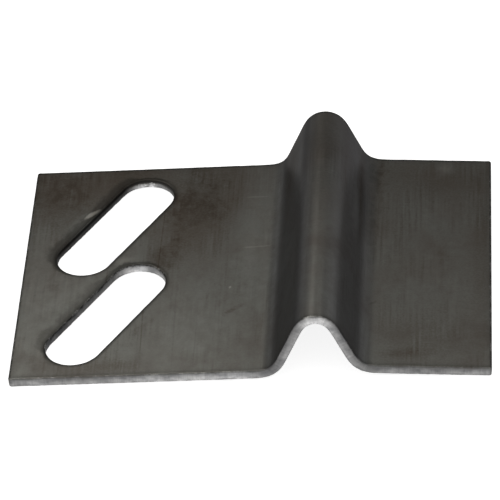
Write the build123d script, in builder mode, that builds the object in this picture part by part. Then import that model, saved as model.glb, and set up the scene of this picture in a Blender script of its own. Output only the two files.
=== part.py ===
from build123d import *

import os
from math import cos, radians, sin

# Stamped metal bracket: one strip of sheet steel with two slanted slots in its long flange and a rounded
# hump folded across it before the short flange.
#
# Millimetres, +Z up. X runs along the strip from the slotted end to the short end, and Y across it.
# The origin is on the underside of the slotted flange, in the middle of the web between the two slots.

# Sheet
thickness = 1.5
strip_width = 55.0
corner_radius = 0.5  # of the four corners, seen square to the sheet
edge_roll = 0.25  # rounding that shear and punch left on the upper edges as they drew them down

# Fold, followed along the underside: a leg runs between the sharp corners where flat stretches would meet
slotted_leg = 43.0
rising_leg = 15.5
falling_leg = 14.5
short_leg = 21.5
foot_bend = 63.0  # degrees, the same at both feet of the hump
short_flange_fall = 4.0  # degrees, from the line of the slotted flange down to the short one
foot_inside_radius = 2.75
crest_inside_radius = 2.25

# Slots: two of one size, side by side across the slotted flange, leaning towards the hump
slot_width = 9.3
slot_angle = 60.0  # degrees from the strip's length
slot_web = 2.25  # metal left between the two, measured square to them
slot_edge_margin = 3.35  # from the outer end of each slot to the long edge beside it
slot_end_margin = 5.35  # from the slots to the free end of their flange

# The slots are as long as the web and the margins leave room for
slot_pitch = (slot_width + slot_web) / cos(radians(slot_angle))
slot_rise = strip_width - 2 * slot_edge_margin - slot_pitch - slot_width
slot_travel = slot_rise / sin(radians(slot_angle))
slot_run = slot_travel * cos(radians(slot_angle))

free_end = -(slot_end_margin + (slot_run + slot_width) / 2)
crest_bend = 2 * foot_bend + short_flange_fall
cut_face_lean = 0.2  # sine of the most that a cut face leans from upright, well under that of a flank


def fold_corners():
    """The sharp corners of the underside, in X and Z, from the slotted end to the short end."""
    x, z, heading = free_end, 0.0, 0.0
    corners = [(x, z)]
    legs = (slotted_leg, rising_leg, falling_leg, short_leg)
    bends = (foot_bend, -crest_bend, foot_bend, 0.0)
    for leg, bend in zip(legs, bends):
        x += leg * cos(radians(heading))
        z += leg * sin(radians(heading))
        corners.append((x, z))
        heading += bend
    return corners


with BuildPart() as bracket:
    # The folded section keeps the sheet's thickness all the way along
    with BuildSketch(Plane.XZ):
        with BuildLine():
            foot_outside_radius = foot_inside_radius + thickness
            underside = FilletPolyline(
                *fold_corners(),
                radius=(foot_outside_radius, crest_inside_radius, foot_outside_radius),
            )
            offset(underside, amount=thickness, side=Side.LEFT, closed=True)
        make_face()
    extrude(amount=strip_width / 2, both=True)

    # Each free end has two corners, which run through the thickness of the sheet
    faces_along_strip = bracket.faces().sort_by(Axis.X)
    free_ends = (faces_along_strip[0], faces_along_strip[-1])
    fillet([edge for end in free_ends for edge in end.edges().group_by(SortBy.LENGTH)[0]], corner_radius)

    # The slots go straight down through the slotted flange
    with BuildSketch(Plane.XY):
        with GridLocations(0, slot_pitch, 1, 2):
            SlotCenterToCenter(slot_travel, slot_width, rotation=slot_angle)
    extrude(amount=thickness, mode=Mode.SUBTRACT)

    # The rim of the upper skin is rolled over, round the strip and round each slot
    upper_skin = bracket.faces().filter_by(lambda face: face.normal_at().Z > cut_face_lean)
    cut_faces = bracket.faces().filter_by(lambda face: abs(face.normal_at().Z) < cut_face_lean)
    fillet(upper_skin.edges() & cut_faces.edges(), edge_roll)

bracket.part.label = "bracket"

os.makedirs("parts", exist_ok=True)
export_step(bracket.part, "parts/bracket.step")
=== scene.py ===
from math import asin, cos, pi, radians, sin, tan

import bpy
import numpy as np
from mathutils import Euler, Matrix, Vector, noise
from mathutils.geometry import delaunay_2d_cdt


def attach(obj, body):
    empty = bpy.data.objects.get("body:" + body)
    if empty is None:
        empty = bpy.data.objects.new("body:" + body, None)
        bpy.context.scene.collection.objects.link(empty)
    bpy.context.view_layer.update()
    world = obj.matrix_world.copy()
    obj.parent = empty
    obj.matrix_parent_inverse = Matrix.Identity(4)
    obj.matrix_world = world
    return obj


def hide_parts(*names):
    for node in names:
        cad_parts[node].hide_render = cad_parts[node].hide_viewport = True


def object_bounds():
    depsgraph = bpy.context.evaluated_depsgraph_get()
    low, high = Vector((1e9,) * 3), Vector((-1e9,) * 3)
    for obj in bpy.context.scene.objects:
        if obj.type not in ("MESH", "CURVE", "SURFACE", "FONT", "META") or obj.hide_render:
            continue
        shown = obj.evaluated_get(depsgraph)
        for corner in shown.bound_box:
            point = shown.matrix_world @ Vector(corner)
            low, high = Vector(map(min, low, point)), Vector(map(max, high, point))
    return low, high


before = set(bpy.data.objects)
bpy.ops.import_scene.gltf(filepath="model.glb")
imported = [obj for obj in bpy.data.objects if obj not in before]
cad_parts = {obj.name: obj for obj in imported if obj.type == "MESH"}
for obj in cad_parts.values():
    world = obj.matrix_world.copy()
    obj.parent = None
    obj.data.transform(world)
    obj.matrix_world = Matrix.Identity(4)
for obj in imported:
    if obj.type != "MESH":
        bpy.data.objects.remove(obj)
cad_low, cad_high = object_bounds()

# ---------------------------------------------------------------------------------------------------------
# Sizes. Millimetres and degrees, as on the bracket's drawing; a mesh is turned to metres as it is made
# ---------------------------------------------------------------------------------------------------------

MM = 0.001

FREE_END = cad_low.x / MM
STRIP_WIDTH = (cad_high.y - cad_low.y) / MM
THICKNESS = 1.5
CORNER_RADIUS = 0.5

# The fold, followed along the underside from the slotted end: legs between sharp corners, and bends up
LEGS = (43.0, 15.5, 14.5, 21.5)
FOOT_BEND = 63.0
SHORT_FLANGE_FALL = 4.0
BENDS = (FOOT_BEND, -(2 * FOOT_BEND + SHORT_FLANGE_FALL), FOOT_BEND)
FOOT_INSIDE_RADIUS = 2.75
CREST_INSIDE_RADIUS = 2.25
UNDERSIDE_RADII = (FOOT_INSIDE_RADIUS + THICKNESS, CREST_INSIDE_RADIUS, FOOT_INSIDE_RADIUS + THICKNESS)

# The slots
SLOT_WIDTH = 9.3
SLOT_ANGLE = 60.0
SLOT_WEB = 2.25
SLOT_EDGE_MARGIN = 3.35
SLOT_PITCH = (SLOT_WIDTH + SLOT_WEB) / cos(radians(SLOT_ANGLE))
SLOT_TRAVEL = (STRIP_WIDTH - 2 * SLOT_EDGE_MARGIN - SLOT_PITCH - SLOT_WIDTH) / sin(radians(SLOT_ANGLE))
SLOT_LEAN = np.array((cos(radians(SLOT_ANGLE)), sin(radians(SLOT_ANGLE))))
SLOT_CENTRES = [np.array((-FREE_END, side * SLOT_PITCH / 2)) for side in (-1, 1)]

# A cut edge, from the upper skin down: the skin rolls over, a smooth band is sheared, and the rest tears
RIM_INSET = 0.8
ROLL_WIDTH = 0.42
ROLL_DROP = 0.22
SKIN_ENDS = 0.55  # of the way round the roll, where dark skin gives way to bare metal
TEAR_TOP = 0.62
TEAR_DEPTH = 0.035
LOWER_ROUND = 0.08
ROUND_MIDDLE = 0.3  # of the lower rounding, from both faces to the middle of its curve

# How far down the cut the tool drags the skin, for the strip, the front slot and the back slot: where the cut
# faces along the y axis, and where it faces along the strip. The share that is along y settles which
SKIN_DRAWN = ((0.05, 0.06), (0.2, 0.25), (0.8, 0.9))
SKIN_DRAWN_BEHIND = 0.2
FACING_ALONG_Y = 0.86
FACING_FADE = 0.25
FACING_BEHIND = -0.5

# Unevenness along a cut edge: lengths of its waves, and shares of the roll and of the sheared band
LONG_WAVE = 2.2
SHORT_WAVE = 0.6
SHORT_WAVE_SHARE = 0.5
TEAR_WAVE = 0.5
ROLL_UNEVEN = 0.25
TEAR_TOP_UNEVEN = 0.2
NOISE_GAIN = 1.6  # brings the noise, which seldom passes 0.6, to about 1
TEAR_STEPS = (0.85, 0.6, 0.35, 0.15)  # heights of the torn band's rings, as shares of its top
UNDER_INSET = 0.45

# Mesh pitch along the cut edges, on the flat stretches and round the bends
EDGE_PITCH = 0.24
FLAT_PITCH = 0.8
BEND_PITCH = 0.16
ROLL_STEPS = 8
CLEAR_OF_RIM = 0.35
CORNER_KEEPS = 0.9  # of the room there is, so that rings never meet at a corner
MERGE = 1e-7

# The bending fades in and out over a spread each side of where an ideal bend would end, as the mean of so
# many shifted folds, on a middle layer of so many steps
BEND_SPREAD = 1.5
SPREAD_SHIFTS = 41
LINE_STEPS = 6000


# ---------------------------------------------------------------------------------------------------------
# The folded sheet. A point of the flat blank is (s, y, n): along the strip's middle layer from the slotted
# end, across the strip, and up through the thickness from the underside
# ---------------------------------------------------------------------------------------------------------


def up_from(heading):
    """The unit vector a quarter turn up from a heading, in X and Z."""
    return np.stack((-np.sin(heading), np.cos(heading)), axis=-1)


def along(heading):
    """The unit vector along a heading, in X and Z."""
    return np.stack((np.cos(heading), np.sin(heading)), axis=-1)


def fold_runs():
    """The strip's straight and bent stretches: start in s, length, first heading, and way of bending."""
    trims = [radius * tan(radians(abs(bend)) / 2) for radius, bend in zip(UNDERSIDE_RADII, BENDS)]
    straights = np.array(LEGS) - np.array(trims + [0]) - np.array([0] + trims)
    runs = []
    s, heading = 0.0, 0.0
    for number, length in enumerate(straights):
        runs.append({"s": s, "length": length, "heading": heading, "side": 0})
        s += length
        if number < len(BENDS):
            side, turn = np.sign(BENDS[number]), radians(BENDS[number])
            length = abs(turn) * (UNDERSIDE_RADII[number] - side * THICKNESS / 2)
            runs.append({"s": s, "length": length, "heading": heading, "side": side})
            s, heading = s + length, heading + turn
    runs.append({"s": s, "length": 0.0, "heading": heading, "side": 0})
    return runs


RUNS = fold_runs()
BLANK_LENGTH = RUNS[-1]["s"]
RUN_STARTS = [run["s"] for run in RUNS]


def middle_line(spread):
    """The middle layer at close steps of s, as headings and places. Each bend fades in and out over spread."""
    steps = np.linspace(0, BLANK_LENGTH, LINE_STEPS + 1)
    headings = [run["heading"] for run in RUNS]
    shifts = np.linspace(-spread, spread, SPREAD_SHIFTS)
    heading = np.mean([np.interp(steps + shift, RUN_STARTS, headings) for shift in shifts], axis=0)
    halfway = (heading[1:] + heading[:-1]) / 2
    moves = along(halfway) * (steps[1] - steps[0])
    return steps, heading, np.concatenate((np.zeros((1, 2)), np.cumsum(moves, axis=0)))


STEPS, HEADING, PLACE = middle_line(BEND_SPREAD)
# What the fading bends move the short end by goes back evenly from one foot of the hump to the other
DRIFT = middle_line(0.0)[2][-1] - PLACE[-1]
FIRST_FOOT, SECOND_FOOT = (run["s"] for run in RUNS if run["side"] > 0)
OVER_HUMP = np.interp(STEPS, (FIRST_FOOT, SECOND_FOOT), (0, 1))[:, None]
PLACE = PLACE + (FREE_END, THICKNESS / 2) + DRIFT * OVER_HUMP


def fold(s, y, n):
    """Carries points of the flat blank to the folded sheet, in millimetres."""
    heading = np.interp(s, STEPS, HEADING)
    x, z = (np.interp(s, STEPS, PLACE[:, side]) for side in (0, 1))
    lift = up_from(heading) * (n - THICKNESS / 2)[:, None]
    return np.stack((x + lift[:, 0], y, z + lift[:, 1]), axis=-1)


# ---------------------------------------------------------------------------------------------------------
# The blank: its cut lines, its rolled and torn edges, and the skins between them
# ---------------------------------------------------------------------------------------------------------


def close_at_bends(start, end, flat_pitch):
    """Values of s from start to before end, at the flat pitch and closer together round the bends."""
    cuts, pitches = [start], []
    for run in RUNS:
        if run["side"]:
            cuts += [run["s"] - BEND_SPREAD, run["s"] + run["length"] + BEND_SPREAD]
            pitches += [flat_pitch, BEND_PITCH]
    cuts, pitches = cuts + [end], pitches + [flat_pitch]
    parts = []
    for low, high, pitch in zip(cuts, cuts[1:], pitches):
        parts.append(np.linspace(low, high, max(2, round((high - low) / pitch) + 1))[:-1])
    return np.concatenate(parts)


def arc(centre, radius, start, end, pitch):
    """Points round an arc, without its last one. Angles are in radians."""
    count = max(3, round(abs(end - start) * radius / pitch))
    angle = np.linspace(start, end, count + 1)[:-1]
    return centre + radius * np.stack((np.cos(angle), np.sin(angle)), axis=-1)


def straight(start, end):
    """Points along a line, without its last one."""
    start, end = np.array(start), np.array(end)
    count = max(2, round(np.linalg.norm(end - start) / EDGE_PITCH))
    return start + (end - start) * np.linspace(0, 1, count + 1)[:-1, None]


def strip_outline():
    """The blank's outer cut line, anticlockwise, with its four corners barely rounded."""
    r, half, length = CORNER_RADIUS, STRIP_WIDTH / 2, BLANK_LENGTH
    long_edge = close_at_bends(r, length - r, EDGE_PITCH)
    front = np.stack((long_edge, np.full(len(long_edge), -half)), axis=-1)
    back_edge = np.append(long_edge[1:], length - r)[::-1]
    back = np.stack((back_edge, np.full(len(back_edge), half)), axis=-1)
    pitch = EDGE_PITCH / 2
    return np.concatenate(
        (
            front,
            arc((length - r, r - half), r, -pi / 2, 0, pitch),
            straight((length, r - half), (length, half - r)),
            arc((length - r, half - r), r, 0, pi / 2, pitch),
            back,
            arc((r, half - r), r, pi / 2, pi, pitch),
            straight((0, half - r), (0, r - half)),
            arc((r, r - half), r, pi, 3 * pi / 2, pitch),
        )
    )


def slot_outline(centre):
    """A slot's cut line, clockwise, so that the metal lies to its left as on the outer cut line."""
    radius, lean = SLOT_WIDTH / 2, radians(SLOT_ANGLE)
    far, near = centre + SLOT_LEAN * SLOT_TRAVEL / 2, centre - SLOT_LEAN * SLOT_TRAVEL / 2
    across = radius * np.array((-SLOT_LEAN[1], SLOT_LEAN[0]))
    return np.concatenate(
        (
            arc(far, radius, lean + pi / 2, lean - pi / 2, EDGE_PITCH),
            straight(far - across, near - across),
            arc(near, radius, lean - pi / 2, lean - 3 * pi / 2, EDGE_PITCH),
            straight(near + across, far + across),
        )
    )


def into_metal(outline):
    """The unit direction into the metal at each point of a cut line."""
    step = np.roll(outline, -1, axis=0) - np.roll(outline, 1, axis=0)
    step /= np.linalg.norm(step, axis=1)[:, None]
    return np.stack((-step[:, 1], step[:, 0]), axis=-1)


def wander(points, wavelength, seed):
    """Smooth unevenness from about -1 to 1 along a cut line."""
    places = [Vector((x / wavelength, y / wavelength, seed)) for x, y in points]
    return NOISE_GAIN * np.array([noise.noise(place) for place in places])


def cut_section(outline, seed):
    """The edge's section at every point of a cut line: rings of (inset, height), from skin to skin."""
    uneven = wander(outline, LONG_WAVE, seed) + SHORT_WAVE_SHARE * wander(outline, SHORT_WAVE, seed + 7)
    torn = wander(outline, TEAR_WAVE, seed + 13)
    drop = ROLL_DROP * (1 + ROLL_UNEVEN * uneven)
    level = np.ones(len(outline))
    rings = [(inset * level, THICKNESS * level) for inset in (RIM_INSET, (RIM_INSET + ROLL_WIDTH) / 2)]
    for angle in np.radians(np.linspace(0, 90, ROLL_STEPS)):
        rings.append((ROLL_WIDTH * (1 - np.sin(angle)) * level, THICKNESS - drop * (1 - np.cos(angle))))
    tear_top = THICKNESS * TEAR_TOP * (1 + TEAR_TOP_UNEVEN * uneven)
    rings.append((0.0 * level, (THICKNESS - drop + tear_top) / 2))
    rings.append((0.0 * level, tear_top))
    torn_back = TEAR_DEPTH * (1 + torn)
    rings += [(torn_back * (1 - share), tear_top * share) for share in TEAR_STEPS]
    rings.append((torn_back, LOWER_ROUND * level))
    rings.append((torn_back + ROUND_MIDDLE * LOWER_ROUND, ROUND_MIDDLE * LOWER_ROUND * level))
    rings.append((torn_back + LOWER_ROUND, 0.0 * level))
    rings += [(inset * level, 0.0 * level) for inset in (UNDER_INSET, RIM_INSET)]
    return rings


def skin_drawn(inward, along_y, along_x):
    """How far down a cut the tool dragged the skin. It differs where the metal lies in front or behind."""
    along_strip = np.clip((FACING_ALONG_Y - np.abs(inward[:, 1])) / FACING_FADE, 0, 1)
    drawn = along_y + (along_x - along_y) * along_strip
    return np.where(inward[:, 1] < FACING_BEHIND, SKIN_DRAWN_BEHIND, drawn)


def bare_depth(rings, drawn):
    """How deep each ring lies in the bare metal of the cut, in millimetres round the section. Skin is below 0.

    Drawn is how far down the cut the tool dragged the upper skin."""
    inset, height = (np.array(side) for side in zip(*rings))
    steps = np.hypot(np.diff(inset, axis=0), np.diff(height, axis=0))
    reached = np.concatenate((np.zeros((1, inset.shape[1])), np.cumsum(steps, axis=0)))
    roll_start, lower_round = 2, -4
    upper = reached[roll_start] + SKIN_ENDS * (reached[roll_start + ROLL_STEPS - 1] - reached[roll_start])
    lower = reached[lower_round]
    return np.minimum(reached - upper - drawn, lower - reached)


def slot_place(points):
    """The gap from each point of the blank to the nearest slot, and the unit way out from its middle line."""
    away = []
    for centre in SLOT_CENTRES:
        reach = np.clip((points - centre) @ SLOT_LEAN, -SLOT_TRAVEL / 2, SLOT_TRAVEL / 2)
        away.append(points - centre - reach[:, None] * SLOT_LEAN)
    lengths = np.linalg.norm(away, axis=2)
    nearest = lengths.argmin(axis=0)
    chosen = np.arange(len(points))
    length = lengths[nearest, chosen]
    return length - SLOT_WIDTH / 2, np.array(away)[nearest, chosen] / np.maximum(length, 1e-6)[:, None]


def bend_at(s):
    """1 where a foot of the hump squeezes the upper skin, -1 where the crest stretches it, and 0 on flats."""
    bend = np.zeros(len(s))
    for run in RUNS:
        past = np.abs(s - run["s"] - run["length"] / 2) - run["length"] / 2
        bend += run["side"] * np.clip(0.5 - past / BEND_SPREAD, 0, 1)
    return bend


def edge_gap(points):
    """How far each point of the blank lies inside the strip's outer cut line."""
    s, y = points[:, 0], points[:, 1]
    return np.minimum(np.minimum(s, BLANK_LENGTH - s), STRIP_WIDTH / 2 - np.abs(y))


def corner_room(outline):
    """The share of its inset that a ring keeps, less where rings would cross at a corner of the strip."""
    s, y = np.abs(outline).T
    reach = np.minimum(s, BLANK_LENGTH - s) + STRIP_WIDTH / 2 - y
    return np.minimum(1, CORNER_KEEPS * np.maximum(CORNER_RADIUS, reach) / RIM_INSET)


def inner_points():
    """Points of a skin away from the cut edges: a grid that is close along the strip at the bends."""
    lines = close_at_bends(0.0, BLANK_LENGTH, FLAT_PITCH)
    across = np.linspace(-STRIP_WIDTH / 2, STRIP_WIDTH / 2, round(STRIP_WIDTH / FLAT_PITCH) + 1)
    grid = np.stack(np.meshgrid(lines, across), axis=-1).reshape(-1, 2)
    clear = np.minimum(edge_gap(grid), slot_place(grid)[0]) > RIM_INSET + CLEAR_OF_RIM
    return grid[clear]


def skin_triangles(loops, inside):
    """Triangles that fill a skin between the innermost rings of its cut edges, the outer one first."""
    points = np.concatenate(loops + [inside])
    rims, first = [], 0
    for loop in loops:
        rims.append(list(range(first, first + len(loop))))
        first += len(loop)
    openings = [rim[::-1] for rim in rims[1:]]
    filled = delaunay_2d_cdt([Vector(point) for point in points], [], [rims[0]] + openings, 1, MERGE)
    origins = np.array([min(origin) for origin in filled[3]])
    in_metal = [owners == [0] for owners in filled[5]]
    return origins[np.array(filled[2])[in_metal]]


def blank_mesh():
    """Vertices (s, y, n), faces, and how deep each vertex lies in the bare metal of a cut."""
    outlines = [strip_outline()] + [slot_outline(centre) for centre in SLOT_CENTRES]
    vertices, bare, faces = [], [], []
    skins = {"upper": [], "lower": []}
    total = 0
    for seed, outline in enumerate(outlines):
        inward = into_metal(outline)
        room = corner_room(outline)
        rings = cut_section(outline, 10.0 * seed + 3.3)
        drawn = skin_drawn(inward, *SKIN_DRAWN[seed])
        bare += list(bare_depth(rings, drawn))
        count = len(outline)
        for inset, height in rings:
            place = outline + inward * (inset * room)[:, None]
            vertices.append(np.column_stack((place, height)))
        for ring in range(len(rings) - 1):
            here = total + ring * count + np.arange(count)
            below = here + count
            faces += np.column_stack((here, below, np.roll(below, -1), np.roll(here, -1))).tolist()
        skins["upper"].append((total + np.arange(count), vertices[-len(rings)][:, :2]))
        skins["lower"].append((total + (len(rings) - 1) * count + np.arange(count), vertices[-1][:, :2]))
        total += count * len(rings)
    inside = inner_points()
    inside_gap = np.minimum(edge_gap(inside), slot_place(inside)[0])
    for side, height in (("upper", THICKNESS), ("lower", 0.0)):
        vertices.append(np.column_stack((inside, np.full(len(inside), height))))
        bare.append(-inside_gap)
        loop_numbers = [numbers for numbers, _ in skins[side]]
        number_of = np.concatenate(loop_numbers + [total + np.arange(len(inside))])
        triangles = number_of[skin_triangles([place for _, place in skins[side]], inside)]
        faces += (triangles if side == "upper" else triangles[:, ::-1]).tolist()
        total += len(inside)
    return np.concatenate(vertices), faces, np.concatenate(bare)


def bracket_sheet():
    """The folded and pierced strip, as one closed mesh that remembers where it lay in the flat blank."""
    blank, faces, bare = blank_mesh()
    mesh = bpy.data.meshes.new("bracket_sheet")
    mesh.from_pydata((fold(*blank.T) * MM).tolist(), [], faces)
    mesh.validate()
    mesh.shade_smooth()
    mesh.attributes.new("blank", "FLOAT_VECTOR", "POINT").data.foreach_set("vector", blank.ravel())
    gap, away = slot_place(blank[:, :2])
    readings = {
        "bare_depth": bare,
        "edge_gap": np.maximum(edge_gap(blank[:, :2]), 0),
        "slot_gap": np.maximum(gap, 0),
        "slot_upper_left": away @ np.array((-SLOT_LEAN[1], SLOT_LEAN[0])),
        "bend": bend_at(blank[:, 0]),
    }
    for name, values in readings.items():
        mesh.attributes.new(name, "FLOAT", "POINT").data.foreach_set("value", values)
    sheet = bpy.data.objects.new("bracket_sheet", mesh)
    bpy.context.scene.collection.objects.link(sheet)
    return sheet


# ---------------------------------------------------------------------------------------------------------
# Materials
# ---------------------------------------------------------------------------------------------------------


def linear(hex_colour):
    """An sRGB hex colour as linear red, green, blue and alpha."""
    channels = [int(hex_colour[i:i + 2], 16) / 255 for i in (1, 3, 5)]
    return [c / 12.92 if c <= 0.04045 else ((c + 0.055) / 1.055) ** 2.4 for c in channels] + [1.0]


def add(tree, kind, inputs=None, stops=(), **settings):
    """Adds a node with its settings, and gives its inputs values, sockets or whole nodes to follow.

    Stops are those of a ramp, as (position, colour) from the lowest position up."""
    made = tree.nodes.new("ShaderNode" + kind)
    for name, value in settings.items():
        setattr(made, name, value)
    for number, (position, colour) in enumerate(stops):
        elements = made.color_ramp.elements
        stop = elements[number] if number < 2 else elements.new(1.0)
        stop.position, stop.color = position, (*colour, 1.0)
    for name, value in (inputs or {}).items():
        if isinstance(value, bpy.types.Node):
            value = next(socket for socket in value.outputs if socket.enabled)
        if isinstance(value, bpy.types.NodeSocket):
            tree.links.new(value, made.inputs[name])
        else:
            made.inputs[name].default_value = value
    return made


def spans(table):
    """Named ranges, each with what its two ends turn into, as settings for nodes that map ranges."""
    sockets = ("From Min", "From Max", "To Min", "To Max")
    return {name: dict(zip(sockets, span)) for name, span in table.items()}


def new_material(name):
    """An empty node material and its shader."""
    material = bpy.data.materials.new(name)
    material.use_nodes = True
    tree = material.node_tree
    tree.nodes.clear()
    shader = add(tree, "BsdfPrincipled")
    add(tree, "OutputMaterial", {"Surface": shader})
    return material, tree, shader


# Patterns of the rolled skin: length along the strip and across it in millimetres, detail and distortion
SKIN_PATTERNS = {
    "clouds": (12.0, 15.0, 3.0, 0.5),
    "stains": (4.5, 6.0, 4.0, 0.8),
    "mottle": (1.3, 1.6, 3.0, 0.3),
    # Rolling and handling lines: real ones are a few hundredths wide, and these are coarse enough to show
    "draw_lines": (0.5, 14.0, 2.0, 0.15),
    "draw_zones": (6.0, 9.0, 1.0, 0.0),
    "rub_lines": (6.5, 0.42, 2.0, 0.2),
    "rub_zones": (4.5, 11.0, 1.0, 0.0),
    "grit": (0.38, 0.38, 2.0, 0.0),
}
SKIN_DEPTH_PITCH = 9.0  # well over the thickness, so that a cut edge carries on the skin's patterns

# Patterns of the sheared metal: along the edge, across the strip and through the thickness, then detail
CUT_PATTERNS = {
    "reaches": (9.0, 9.0, 6.0, 1.0),
    "smears": (1.5, 1.5, 0.8, 2.0),
    "striae": (0.3, 0.3, 3.0, 2.0),
    "pits": (0.34, 0.34, 0.3, 2.0),
}

# Soft patches and sharp scratches on the upper skin: place along and across the strip, turn in degrees,
# half length and half width, and how much lighter or darker the skin is there
PATCHES = {
    "rub_beside_foot": (38.8, 12.0, 90.0, 21.0, 4.0, 0.2),
    "light_free_end": (2.6, -7.0, 90.0, 18.0, 3.6, 0.1),
    "light_between_slots": (8.0, -6.5, 60.0, 7.0, 3.6, 0.14),
    "light_web_end": (27.0, -17.0, 90.0, 12.0, 7.0, 0.12),
    "oil_patch": (28.5, 14.5, 80.0, 12.0, 7.0, -0.22),
    # Browner with oil there, and darker as painted shade towards the back
    "oil_and_painted_shade_along_back": (16.0, 27.0, 0.0, 28.0, 13.0, -0.14),
    "oil_by_front_slot_end": (23.0, 2.5, 80.0, 5.0, 3.0, -0.2),
    "oil_beside_slot": (24.6, 15.0, 90.0, 8.0, 1.6, -0.12),
    "oil_behind_slot": (12.0, 24.5, 20.0, 9.0, 4.0, -0.12),
    "oil_in_back_corner": (3.0, 20.0, 90.0, 11.0, 5.5, -0.17),
    "oil_by_front_edge": (75.0, -24.2, 5.0, 4.2, 1.4, -0.14),
    "oil_by_short_end": (87.0, 6.0, 90.0, 18.0, 1.6, -0.1),
    # Painted shade, towards the back and in the hump's feet
    "painted_shade_short_flange_back": (80.0, 22.0, 0.0, 10.0, 6.0, -0.12),
    "painted_shade_on_crest_back": (56.6, 19.0, 90.0, 17.0, 5.0, -0.28),
    "painted_shade_in_left_foot": (46.8, 22.0, 90.0, 12.0, 3.0, -0.4),
    "painted_shade_in_right_foot": (67.4, 17.0, 90.0, 18.0, 3.0, -0.5),
    "oil_short_flange_front": (80.0, -20.0, 10.0, 9.0, 6.0, -0.06),
    "oil_by_front_slot": (16.5, -25.0, 0.0, 6.0, 1.6, -0.12),
    "smudge_between_slots": (16.6, 2.4, 10.0, 2.2, 1.0, 0.35),
    "smudge_short_flange": (81.2, 25.0, 75.0, 2.0, 1.3, 0.4),
    "scrape_tail": (8.6, 12.8, 55.0, 2.8, 1.2, 0.25),
    "ticks_on_flank": (63.8, 7.5, 90.0, 7.0, 1.2, 0.4),
}
SCRATCHES = {
    "scrape_by_back_slot": (10.4, 15.2, 47.0, 2.6, 0.5, 3.0),
    "rub_by_front_slot": (7.2, -16.2, 62.0, 2.3, 0.6, 0.5),
    "long_rub": (38.8, 4.8, 2.0, 3.1, 0.2, 0.4),
    "short_rub": (38.0, 18.4, 0.0, 2.2, 0.16, 0.3),
    "nick": (34.6, -5.7, 80.0, 0.45, 0.25, 0.8),
    "line_1": (20.7, -14.0, 91.0, 11.0, 0.16, -0.13),
    "line_2": (22.5, 6.0, 89.0, 13.0, 0.16, -0.13),
    "line_3": (26.0, -17.0, 91.0, 10.0, 0.15, -0.1),
    "line_4": (13.9, -5.0, 88.0, 5.0, 0.2, -0.18),
    "line_5": (29.6, -19.0, 90.0, 7.0, 0.15, -0.1),
    "slant_scratch": (36.0, -11.0, 38.0, 2.3, 0.55, -0.1),
    "slant_tail": (34.9, -12.0, 30.0, 1.1, 0.5, -0.08),
    "short_flange_scratch": (69.4, -11.8, 40.0, 1.6, 0.35, -0.14),
}

# Where a mark starts to show and where it is at its full strength, as shares of its half sizes
PATCH_FADE = (1.5, -0.1)
SCRATCH_FADE = (1.15, 0.4)

# How bright the cut edges are, by place along the strip. These come from the ratio of the photo's greys to a
# render's, measured along the front edge, then thinned and rounded. Causes in the names are guesses
CUT_TONES = {
    "free_corner": (0.0, 0.8),
    "by_free_corner": (4.5, 1.15),
    "worn_blade": (11.5, 0.8),
    "sharp_blade": (24.0, 1.5),
    "smeared": (29.0, 1.25),
    "before_foot": (36.5, 1.8),
    # Over the hump these tones are painted light: painted shade in the feet and a painted highlight on the
    # crest
    "left_foot": (43.0, 0.72),
    "left_leg_foot": (46.5, 1.0),
    "left_leg": (52.2, 0.82),
    "crest_left": (54.3, 2.0),
    "crest_right": (56.3, 2.1),
    "right_leg": (60.5, 1.0),
    "right_leg_foot": (64.5, 1.0),
    "right_foot": (69.5, 0.6),
    "short_flange": (73.0, 0.95),
    "worn_again": (81.0, 0.74),
    "short_corner": (86.5, 0.95),
}

# The skin's tone and how blue it is, by place along the strip: what brings a render's greys over the hump to
# the photo's, read off measured ratios and rounded. What left the real skin so isn't known
# These tones are painted light: painted shade on the hump's legs, most on the left one, and at its feet, and a
# painted highlight on the crest's shoulders; the legs are also tinted bluer
SKIN_TONES = {
    "left_flange": (37.5, 1.04, 1.0),
    "left_foot_start": (40.4, 0.93, 1.0),
    "left_foot": (42.0, 1.02, 1.02),
    "left_leg_foot": (45.5, 0.8, 1.09),
    "left_leg_top": (52.4, 0.76, 1.09),
    "crest_left": (54.3, 1.08, 1.02),
    "crest": (55.4, 0.98, 1.01),
    "crest_right": (57.0, 1.06, 1.01),
    "right_leg_top": (61.0, 1.03, 1.08),
    "right_leg_foot": (66.0, 0.99, 1.08),
    "right_foot": (67.8, 0.93, 1.03),
    "right_flange": (70.0, 1.0, 1.0),
}
BRIGHTEST = 2.8  # a ramp's colours stay under 1, so tones are held as shares of this

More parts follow.
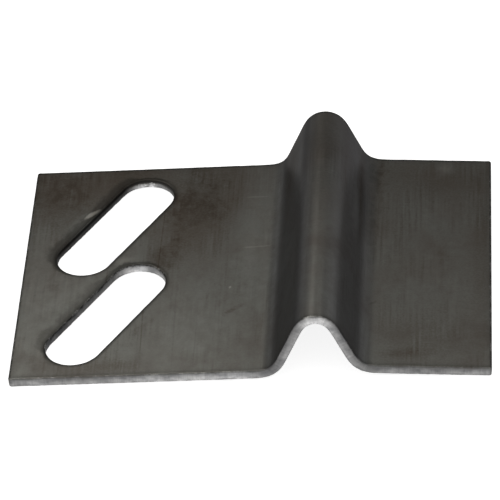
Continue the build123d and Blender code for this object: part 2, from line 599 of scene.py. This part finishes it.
# What the finish follows: the range of a pattern or of a reading off the mesh, and what its ends turn into
FRONT, BACK = -STRIP_WIDTH / 2, STRIP_WIDTH / 2
FINISH = spans(
    {
        # Patterns, which wander about 0.5, or about 1 where two are added
        "grey_skin": (0.62, 1.08, 0.0, 1.0),
        "skin_roughness": (0.62, 1.02, 0.43, 0.36),
        "draw_lines": (0.3, 0.7, -1.0, 1.0),
        "draw_zones": (0.42, 0.6, 0.0, 1.0),
        "rub_lines": (0.52, 0.75, 0.0, 1.0),
        "rub_zones": (0.5, 0.65, 0.0, 1.0),
        "grit": (0.3, 0.7, -0.05, 0.05),
        "patchy": (0.7, 1.3, 0.33, -0.33),
        "smeared": (0.75, 1.25, 0.0, 1.0),
        "striae": (0.3, 0.7, 0.88, 1.12),
        "pitted": (0.25, 0.75, -0.17, 0.17),
        "wavy": (0.25, 0.75, -0.24, 0.24),
        # The skin's shade, to how brown with oil it looks; how far it is bent, to how much of that brown is
        # kept:
        # little on the bends, where the dark patches are mostly painted shade
        "oily": (1.0, 0.7, 0.0, 1.0),
        "oil_left": (0.0, 1.0, 1.0, 0.2),
        # Millimetres in from the strip's cut line, to tone: darker near the edge, and painted shade along the
        # rolled rim; and from the strip's edges to its slots
        "edge": (0.0, 1.6, 0.84, 1.0),
        "rim": (0.0, 0.45, 0.12, 1.0),
        "in_slot": (1.0, 2.0, 0.0, 1.0),
        # Millimetres across the strip, to tone: painted shade along the back rim, darker just inside the front
        # rim, and a painted highlight over the front rim itself
        "front_rim": (FRONT + 0.4, FRONT + 1.0, 0.75, 1.0),
        "front_rim_highlight": (FRONT, FRONT + 0.48, 1.9, 0.0),
        "back_rim": (BACK - 0.7, BACK - 0.1, 1.0, 0.2),
        # Millimetres across the strip, to which of the two slots is nearer; the painted highlight at the back
        # slot's far end is weaker
        "by_back_slot": (-1.0, 1.0, 0.0, 1.0),
        "back_slot_weaker_highlight": (0.0, 1.0, 1.0, 0.5),
        # Millimetres up from the underside, to tone
        "down_the_wall": (1.2, 0.75, 0.0, 1.2),
        "gloss": (1.4, 0.3, 0.53, 0.95),
        # Millimetres from a slot's cut line, to tone: painted shade along its rim, and the painted shade of
        # the halo
        "slot_rim": (0.25, 0.85, 0.45, 1.0),
        "halo": (0.6, 1.3, 1.0, 0.0),
        # How far a place lies up and left of its slot's middle, from 1 to -1 on the other side, to how wide
        # and deep the painted shade of the dark halo is, and to how bright the painted highlight on the cut
        # is near the slot's far end
        "halo_width": (0.7, 0.9, 0.85, 1.8),
        "halo_side": (-0.3, 0.0, 0.3, 1.0),
        "slot_end_highlight": (0.05, 0.42, 3.6, 1.35),
        # Millimetres into the bare metal, from the ragged end of the skin
        "bare": (-0.18, 0.22, 0.0, 1.0),
    }
)

# How strongly the finer patterns add to the clouds, and lines to the shade
CLOUDING = {"stains": 0.4, "mottle": 0.3}
RUB_SHARE = 0.7
LINE_DEPTH = 0.1

# The dark halo up and left of each slot, which is painted shade: in millimetres wide and as a share of
# the tone that it takes
HALO_PATCHINESS = 1.3
HALO_LEAST_WIDTH = 0.2
HALO_DEPTH = 0.27
HALO_DEEPER_AT_BACK = 0.19

FAR_END_SIDE = 0.5  # how far up and left of the slot's middle its far end lies
CUT_ROUGHNESS = 0.45

# Heights of the fine relief in millimetres: of the skin, then of the sheared metal
SKIN_RELIEF = {"mottle": 0.012, "grit": 0.004}
LINE_RELIEF = 0.002
CUT_RELIEF = {"striae": 0.012, "pits": 0.03}


def patterns(tree, blank):
    """The patterns of the skin and of the sheared metal, by name."""
    field = {}
    for name, (length, width, detail, distortion) in SKIN_PATTERNS.items():
        pitch = (length, width, SKIN_DEPTH_PITCH)
        place = add(tree, "VectorMath", {0: blank, 1: pitch}, operation="DIVIDE")
        inputs = {"Vector": place, "Detail": detail, "Distortion": distortion, "Scale": 1}
        field[name] = add(tree, "TexNoise", inputs)
    for name, (*pitch, detail) in CUT_PATTERNS.items():
        place = add(tree, "VectorMath", {0: blank, 1: pitch}, operation="DIVIDE")
        field[name] = add(tree, "TexNoise", {"Vector": place, "Detail": detail, "Scale": 1})
    return field


def drawn_lines(tree, field):
    """Lines drawn across the strip and rubbed along it, each only in some zones."""
    drawn = add(tree, "MapRange", {"Value": field["draw_lines"], **FINISH["draw_lines"]})
    zones = add(tree, "MapRange", {"Value": field["draw_zones"], **FINISH["draw_zones"]})
    drawn = add(tree, "Math", {0: drawn, 1: zones}, operation="MULTIPLY")
    rubbed = add(tree, "MapRange", {"Value": field["rub_lines"], **FINISH["rub_lines"]})
    zones = add(tree, "MapRange", {"Value": field["rub_zones"], **FINISH["rub_zones"]})
    rubbed = add(tree, "Math", {0: rubbed, 1: zones}, operation="MULTIPLY")
    return add(tree, "Math", {0: rubbed, 1: RUB_SHARE, 2: drawn}, operation="MULTIPLY_ADD")


def marked_shade(tree, blank, field, lines, patchy):
    """The shade of the skin, from 1: lines, grit, patches and scratches of handling, and painted shade
    patches.
    """
    shade = add(tree, "Math", {0: lines, 1: LINE_DEPTH, 2: 1.0}, operation="MULTIPLY_ADD")
    grit = add(tree, "MapRange", {"Value": field["grit"], **FINISH["grit"]})
    shade = add(tree, "Math", {0: shade, 1: grit}, operation="ADD")
    marks = [(*mark, *PATCH_FADE) for mark in PATCHES.values()]
    marks += [(*mark, *SCRATCH_FADE) for mark in SCRATCHES.values()]
    for s, y, turn, length, width, strength, start, full in marks:
        local = {
            "Vector": blank,
            "Location": (s, y, THICKNESS),
            "Rotation": (0, 0, radians(turn)),
            "Scale": (length, width, 1),
        }
        local = add(tree, "Mapping", local, vector_type="TEXTURE")
        reach = add(tree, "VectorMath", {0: local}, operation="LENGTH").outputs["Value"]
        reach = add(tree, "Math", {0: reach, 1: patchy}, operation="ADD")
        mark = {"Value": reach, "From Min": start, "From Max": full, "To Min": 0, "To Max": strength}
        mark = add(tree, "MapRange", mark, interpolation_type="SMOOTHSTEP")
        shade = add(tree, "Math", {0: shade, 1: mark}, operation="ADD")
    return shade


def tone_by_edges(tree, reading, across, height, patchy):
    """The tone of the skin by the cut edges: darker towards a cut edge, painted shade along the rolled rims
    and up and left of the slots, but a painted highlight over the front rim; lighter on the cut faces
    themselves."""
    down_the_wall = add(tree, "MapRange", {"Value": height, **FINISH["down_the_wall"]})
    # Painted shade along the rolled rim of the strip's cut line, darkest at the back, and a painted highlight
    # over the front rim
    tone = add(tree, "MapRange", {"Value": reading["edge_gap"], **FINISH["rim"]})
    for name in ("back_rim", "front_rim"):
        rim = add(tree, "MapRange", {"Value": across, **FINISH[name]})
        tone = add(tree, "Math", {0: tone, 1: rim}, operation="MULTIPLY")
    worn = add(tree, "MapRange", {"Value": across, **FINISH["front_rim_highlight"]})
    tone = add(tree, "Math", {0: tone, 1: worn}, operation="MAXIMUM")
    tone = add(tree, "Math", {0: tone, 1: down_the_wall}, operation="MAXIMUM")
    near_edge = add(tree, "MapRange", {"Value": reading["edge_gap"], **FINISH["edge"]})
    tone = add(tree, "Math", {0: tone, 1: near_edge}, operation="MULTIPLY")

    # Painted shade: a dark halo up and left of each slot, deeper at the back slot, and a darker rim all round
    # it
    width = add(tree, "MapRange", {"Value": reading["slot_upper_left"], **FINISH["halo_width"]})
    width = add(tree, "Math", {0: patchy, 1: HALO_PATCHINESS, 2: width}, operation="MULTIPLY_ADD")
    width = add(tree, "Math", {0: width, 1: HALO_LEAST_WIDTH}, operation="MAXIMUM")
    halo = add(tree, "Math", {0: reading["slot_gap"], 1: width}, operation="DIVIDE")
    halo = add(tree, "MapRange", {"Value": halo, **FINISH["halo"]}, interpolation_type="SMOOTHSTEP")
    behind = add(tree, "MapRange", {"Value": across, **FINISH["by_back_slot"]})
    depth = add(tree, "Math", {0: behind, 1: HALO_DEEPER_AT_BACK, 2: HALO_DEPTH}, operation="MULTIPLY_ADD")
    halo = add(tree, "Math", {0: halo, 1: depth}, operation="MULTIPLY")
    one_sided = add(tree, "MapRange", {"Value": reading["slot_upper_left"], **FINISH["halo_side"]})
    halo = add(tree, "Math", {0: halo, 1: one_sided}, operation="MULTIPLY")
    near_slot = add(tree, "Math", {0: 1.0, 1: halo}, operation="SUBTRACT")
    rim = add(tree, "MapRange", {"Value": reading["slot_gap"], **FINISH["slot_rim"]})
    near_slot = add(tree, "Math", {0: near_slot, 1: rim}, operation="MULTIPLY")
    near_slot = add(tree, "Math", {0: near_slot, 1: down_the_wall}, operation="MAXIMUM")
    return add(tree, "Math", {0: tone, 1: near_slot}, operation="MULTIPLY")


def bare_metal(tree, field, reading, share_along, across, height):
    """The colour of the cut: dull where it rolls over and brighter below, with painted shade in the feet and
    a painted highlight on the crest, and a painted highlight again at the far ends of the slots."""
    smear = add(tree, "Math", {0: field["smears"], 1: field["reaches"]}, operation="ADD")
    smear = add(tree, "MapRange", {"Value": smear, **FINISH["smeared"]})
    bare = add(tree, "Mix", {0: smear, 6: linear("#929293"), 7: linear("#c7c6c5")}, data_type="RGBA")
    gloss = add(tree, "MapRange", {"Value": height, **FINISH["gloss"]}, interpolation_type="SMOOTHSTEP")
    striae = add(tree, "MapRange", {"Value": field["striae"], **FINISH["striae"]})
    gloss = add(tree, "Math", {0: gloss, 1: striae}, operation="MULTIPLY")
    # The cut's tone along the strip, with painted shade in the hump's feet and a painted highlight on its
    # crest
    stops = [(s / BLANK_LENGTH, (tone / BRIGHTEST,) * 3) for s, tone in CUT_TONES.values()]
    blade = add(tree, "ValToRGB", {"Fac": share_along}, stops)
    gloss = add(tree, "Math", {0: gloss, 1: blade}, operation="MULTIPLY")
    gloss = add(tree, "Math", {0: gloss, 1: BRIGHTEST}, operation="MULTIPLY")
    # A painted highlight on the cut at each slot's far end, whose wall faces the bright front
    far_end = add(tree, "Math", {0: reading["slot_upper_left"], 1: FAR_END_SIDE}, operation="SUBTRACT")
    far_end = add(tree, "Math", {0: far_end}, operation="ABSOLUTE")
    far_end = add(tree, "MapRange", {"Value": far_end, **FINISH["slot_end_highlight"]}, interpolation_type="SMOOTHSTEP")
    behind = add(tree, "MapRange", {"Value": across, **FINISH["by_back_slot"]})
    duller = add(tree, "MapRange", {"Value": behind, **FINISH["back_slot_weaker_highlight"]})
    far_end = add(tree, "Math", {0: far_end, 1: duller}, operation="MULTIPLY")
    in_slot = add(tree, "MapRange", {"Value": reading["edge_gap"], **FINISH["in_slot"]})
    in_slot = add(tree, "Mix", {0: in_slot, 2: 1.0, 3: far_end})
    gloss = add(tree, "Math", {0: gloss, 1: in_slot}, operation="MULTIPLY")
    return add(tree, "VectorMath", {0: bare, "Scale": gloss}, operation="SCALE")


def mill_steel():
    """Hot-rolled mild steel, pickled and oiled: a dull dark skin, and cut edges of bare bright metal."""
    material, tree, shader = new_material("mill_steel")
    blank = add(tree, "Attribute", attribute_name="blank").outputs["Vector"]
    way = add(tree, "SeparateXYZ", {0: blank})
    across, height = way.outputs["Y"], way.outputs["Z"]
    share_along = add(tree, "Math", {0: way.outputs["X"], 1: BLANK_LENGTH}, operation="DIVIDE")
    names = ("bare_depth", "edge_gap", "slot_gap", "slot_upper_left", "bend")
    reading = {name: add(tree, "Attribute", attribute_name=name).outputs["Fac"] for name in names}
    field = patterns(tree, blank)

    # Skin colour, corrected to the photo's averages: brown where oil and scale seem thicker, grey elsewhere
    clouded = field["clouds"]
    for name, share in CLOUDING.items():
        clouded = add(tree, "Math", {0: field[name], 1: share, 2: clouded}, operation="MULTIPLY_ADD")
    clean = add(tree, "MapRange", {"Value": clouded, **FINISH["grey_skin"]})
    skin = add(tree, "Mix", {0: clean, 6: linear("#5f5c59"), 7: linear("#737472")}, data_type="RGBA")
    lines = drawn_lines(tree, field)
    patchy = add(tree, "Math", {0: field["mottle"], 1: field["stains"]}, operation="ADD")
    patchy = add(tree, "MapRange", {"Value": patchy, **FINISH["patchy"]})
    shade = marked_shade(tree, blank, field, lines, patchy)
    oily = add(tree, "MapRange", {"Value": shade, **FINISH["oily"]})
    bent = add(tree, "Math", {0: reading["bend"]}, operation="ABSOLUTE")
    oil_left = add(tree, "MapRange", {"Value": bent, **FINISH["oil_left"]})
    oily = add(tree, "Math", {0: oily, 1: oil_left}, operation="MULTIPLY")
    skin = add(tree, "Mix", {0: oily, 6: skin, 7: linear("#5f5750")}, data_type="RGBA")

    # Then its tone: painted shade and highlight by the cut edges, and over the hump by place along the strip
    by_edges = tone_by_edges(tree, reading, across, height, patchy)
    shade = add(tree, "Math", {0: shade, 1: by_edges}, operation="MULTIPLY")
    # Painted shade and highlight over the hump, by place along the strip
    stops = [
        (s / BLANK_LENGTH, (tone / BRIGHTEST, tone / BRIGHTEST, tone * blue / BRIGHTEST))
        for s, tone, blue in SKIN_TONES.values()
    ]
    pressed = add(tree, "ValToRGB", {"Fac": share_along}, stops)
    pressed = add(tree, "VectorMath", {0: pressed, "Scale": BRIGHTEST}, operation="SCALE")
    skin = add(tree, "VectorMath", {0: skin, 1: pressed}, operation="MULTIPLY")
    skin = add(tree, "VectorMath", {0: skin, "Scale": shade}, operation="SCALE")

    # The skin's torn edge, which wanders over the roll, and the bare metal past it
    pitted = add(tree, "MapRange", {"Value": field["pits"], **FINISH["pitted"]})
    ragged = add(tree, "Math", {0: pitted, 1: reading["bare_depth"]}, operation="ADD")
    wavy = add(tree, "MapRange", {"Value": field["smears"], **FINISH["wavy"]})
    ragged = add(tree, "Math", {0: ragged, 1: wavy}, operation="ADD")
    is_bare = add(tree, "MapRange", {"Value": ragged, **FINISH["bare"]})
    bare = bare_metal(tree, field, reading, share_along, across, height)
    colour = add(tree, "Mix", {0: is_bare, 6: skin, 7: bare}, data_type="RGBA")
    skin_rough = add(tree, "MapRange", {"Value": clouded, **FINISH["skin_roughness"]})
    rough = add(tree, "Mix", {0: is_bare, 2: skin_rough, 3: CUT_ROUGHNESS})

    # Fine unevenness of the skin, about a hundredth of a millimetre high, and the deeper marks of the shear
    relief = add(tree, "Math", {0: lines, 1: LINE_RELIEF}, operation="MULTIPLY")
    for name, rise in SKIN_RELIEF.items():
        relief = add(tree, "Math", {0: field[name], 1: rise, 2: relief}, operation="MULTIPLY_ADD")
    shorn = add(tree, "Math", {0: field["striae"], 1: CUT_RELIEF["striae"]}, operation="MULTIPLY")
    shorn = add(tree, "Math", {0: field["pits"], 1: CUT_RELIEF["pits"], 2: shorn}, operation="MULTIPLY_ADD")
    relief = add(tree, "Mix", {0: is_bare, 2: relief, 3: shorn})
    bump = add(tree, "Bump", {"Height": relief, "Distance": MM, "Strength": 1.0})

    tree.links.new(colour.outputs["Result"], shader.inputs["Base Color"])
    tree.links.new(rough.outputs["Result"], shader.inputs["Roughness"])
    tree.links.new(bump.outputs["Normal"], shader.inputs["Normal"])
    shader.inputs["Metallic"].default_value = 1.0
    return material


def floor_paper():
    """Matt white seamless paper over a light table, which leaves hardly a shadow."""
    material, _, shader = new_material("floor_paper")
    shader.inputs["Base Color"].default_value = linear("#e6e6e6")
    shader.inputs["Roughness"].default_value = 1.0
    shader.inputs["Specular IOR Level"].default_value = 0.0
    shader.inputs["Emission Color"].default_value = linear("#ffffff")
    shader.inputs["Emission Strength"].default_value = FLOOR_GLOW
    return material


# ---------------------------------------------------------------------------------------------------------
# Studio
# ---------------------------------------------------------------------------------------------------------

FLOOR_SIZE = 3000.0
FLOOR_GLOW = 0.85


def floor():
    """A pale floor that both free ends of the bracket rest on."""
    left = np.array((cad_low.x, 0.0))
    right = np.array((cad_high.x, cad_low.z))
    slope = asin((right[1] - left[1]) / np.linalg.norm(right - left))
    bpy.ops.mesh.primitive_plane_add(size=FLOOR_SIZE * MM, location=(right[0], 0, right[1]))
    made = bpy.context.object
    made.name = "floor"
    made.rotation_euler = (0, -slope, 0)
    made.data.materials.append(floor_paper())
    made.visible_glossy = False


def soft_panel(name, place, aim, size, glow):
    """A soft rectangular light that the camera can't see. Its glow is the brightness of its face."""
    light = bpy.data.lights.new(name, "AREA")
    light.shape = "RECTANGLE"
    light.size, light.size_y = size[0] * MM, size[1] * MM
    light.energy = glow * pi * light.size * light.size_y
    light.color = linear("#fffcf3")[:3]
    lamp = bpy.data.objects.new(name, light)
    lamp.location = Vector(place) * MM
    lamp.rotation_euler = (Vector(aim) - Vector(place)).to_track_quat("-Z", "Y").to_euler()
    lamp.visible_camera = False
    bpy.context.scene.collection.objects.link(lamp)


# How brightly the back of the tent glows, by degrees round it from straight overhead, with those to the left
# negative, and how blue. A least-squares fit of one-light renders to greys measured in the photo gave the
# first levels here, in the front's glow and in the panels. They were then rounded and changed. The
# names only say which way a level lies: the photo doesn't show its studio
TENT_BACK = {
    "floor_left": (-140, 0.34, 0.97),
    "join_left": (-105, 0.12, 1.0),
    "wall_left": (-75, 0.42, 0.97),
    "ceiling_left": (-42, 0.1, 0.95),
    "ceiling_right": (15, 0.06, 0.95),
    "shoulder_right": (40, 0.34, 0.97),
    "wall_right": (75, 0.42, 0.98),
    "join_right": (105, 0.3, 1.0),
    "floor_right": (140, 0.31, 1.01),
}

# The brightness of the tent by way out from the bracket: up for the front, and back for how much is its back
TENT = spans(
    {
        "all_round": (-pi, pi, 0.0, 1.0),
        "front_glow": (-0.15, 0.25, 0.8, 0.58),
        "back_share": (-0.4, 0.4, 0.0, 1.0),
        "dark_card": (0.8, 0.9, 1.0, 0.2),
    }
)
DARK_CARD_WAY = (0.72, 0.32, -0.61)
BACKDROP = 0.95

# The soft panels over the back of the tent: place along the bracket, and glow, first set by the same fit
PANELS = {"far_left": (-150, 3.2), "left": (-60, 4.8), "middle": (30, 1.1), "right": (120, 3.0)}
PANEL_SIZE = (90, 120)
PANEL_BACK = 190
PANEL_HEIGHT = 330
PANEL_AIM = 40


def tent():
    """A soft light tent, bright in front and dim behind, with a dark card low down to the right."""
    world = bpy.data.worlds.new("tent")
    world.use_nodes = True
    tree = world.node_tree
    tree.nodes.clear()
    direction = add(tree, "TexCoord").outputs["Generated"]
    way = add(tree, "SeparateXYZ", {0: direction})
    around = add(tree, "Math", {0: way.outputs["X"], 1: way.outputs["Z"]}, operation="ARCTAN2")
    around = add(tree, "MapRange", {"Value": around, **TENT["all_round"]})
    stops = [((turn + 180) / 360, (glow, glow, glow * blue)) for turn, glow, blue in TENT_BACK.values()]
    behind = add(tree, "ValToRGB", {"Fac": around}, stops)
    front = add(tree, "MapRange", {"Value": way.outputs["Z"], **TENT["front_glow"]})
    share = {"Value": way.outputs["Y"], **TENT["back_share"]}
    share = add(tree, "MapRange", share, interpolation_type="SMOOTHSTEP")
    glow = add(tree, "Mix", {0: share, 6: front, 7: behind}, data_type="RGBA")
    card = add(tree, "VectorMath", {0: direction, 1: DARK_CARD_WAY}, operation="DOT_PRODUCT").outputs["Value"]
    card = add(tree, "MapRange", {"Value": card, **TENT["dark_card"]})
    glow = add(tree, "VectorMath", {0: glow, "Scale": card}, operation="SCALE")
    lit = add(tree, "Background", {"Color": glow})
    seen = add(tree, "Background", {"Strength": BACKDROP})
    camera_sees = add(tree, "LightPath").outputs["Is Camera Ray"]
    mixed = add(tree, "MixShader", {0: camera_sees, 1: lit, 2: seen})
    add(tree, "OutputWorld", {"Surface": mixed})
    bpy.context.scene.world = world


def lights():
    """The tent, and the row of soft panels over its back."""
    tent()
    for name, (x, glow) in PANELS.items():
        soft_panel("panel_" + name, (x, PANEL_BACK, PANEL_HEIGHT), (x, 0, PANEL_AIM), PANEL_SIZE, glow)


# The view is from in front and above, through a long lens: place in millimetres, turn in degrees. A fit of
# the bracket's edges to the photo's gave these
CAMERA_PLACE = (78.78, -509.55, 401.51)
CAMERA_TURN = (52.0981, 4.6568, 2.5991)
CAMERA_LENS = 284.76
SENSOR = 36.0
NEAREST_SEEN = 0.01  # metres


def camera():
    """The camera, whose long lens keeps the strip's edges nearly parallel."""
    made = bpy.data.cameras.new("camera")
    made.lens, made.sensor_width = CAMERA_LENS, SENSOR
    made.clip_start = NEAREST_SEEN
    seen = bpy.data.objects.new("camera", made)
    seen.location = Vector(CAMERA_PLACE) * MM
    seen.rotation_euler = Euler([radians(turn) for turn in CAMERA_TURN])
    bpy.context.scene.collection.objects.link(seen)
    bpy.context.scene.camera = seen


sheet = bracket_sheet()
sheet.data.materials.append(mill_steel())
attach(sheet, "root")
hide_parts("bracket")
floor()
lights()
camera()
bpy.context.scene.view_settings.view_transform = "Standard"
